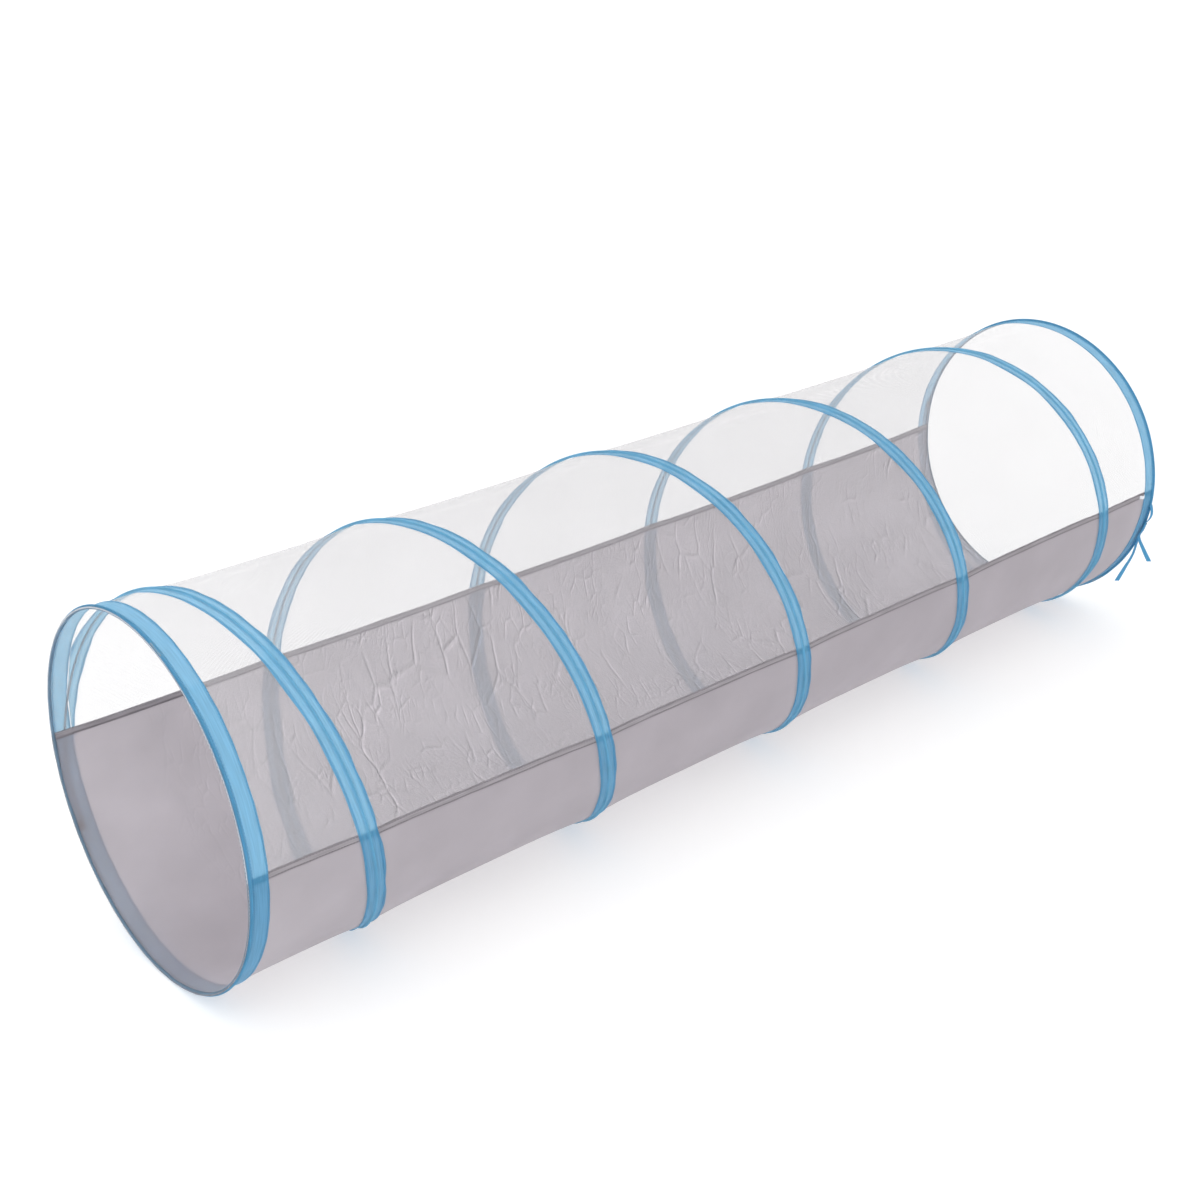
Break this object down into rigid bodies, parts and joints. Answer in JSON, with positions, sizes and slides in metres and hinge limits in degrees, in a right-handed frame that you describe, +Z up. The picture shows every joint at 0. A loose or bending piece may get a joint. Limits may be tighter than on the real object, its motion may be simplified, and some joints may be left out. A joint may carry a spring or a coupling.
{
  "type": "play tunnel",
  "caption": "Pop-up crawl tunnel for children: a sprung steel coil taped to a round cloth tube, white net above and grey polyester below, with a tie ribbon at one end.",
  "frame": {"origin": "on the floor below the middle of the tunnel", "axes": "+X along the tunnel from the front opening to the rear one, +Y to the far side, +Z up"},
  "size_m": [1.8, 0.5108, 0.5014],
  "materials": {
    "spring_steel": "satin",
    "blue_tape": "satin",
    "white_net": "matte",
    "grey_polyester": "matte",
    "grey_binding": "matte"
  },
  "bodies": {
    "front_end": {"front_ring_wire": "spring_steel", "front_ring_sleeve": "spring_steel", "front_coil_crimp": "spring_steel", "front_ring_casing": "blue_tape", "coil_wire": "spring_steel", "coil_casing": "blue_tape", "upper_mesh": "white_net", "lower_panel": "grey_polyester", "near_seam_binding": "grey_binding", "far_seam_binding": "grey_binding"},
    "rear_end": {"rear_ring_wire": "spring_steel", "rear_ring_sleeve": "spring_steel", "rear_coil_crimp": "spring_steel", "rear_ring_casing": "blue_tape", "tie_loop": "blue_tape", "tie_tail_long": "blue_tape", "tie_tail_short": "blue_tape", "seam_end_loop": "white_net"}
  },
  "joints": [
    {"name": "collapse", "type": "slide", "parent": "front_end", "child": "rear_end", "axis": [1, 0, 0], "range_m": [-1.69, 0], "stiffness_N_per_m": 1.2, "springref_m": 1.2, "deforming": ["coil_wire", "coil_casing", "upper_mesh", "lower_panel", "near_seam_binding", "far_seam_binding"]}
  ]
}
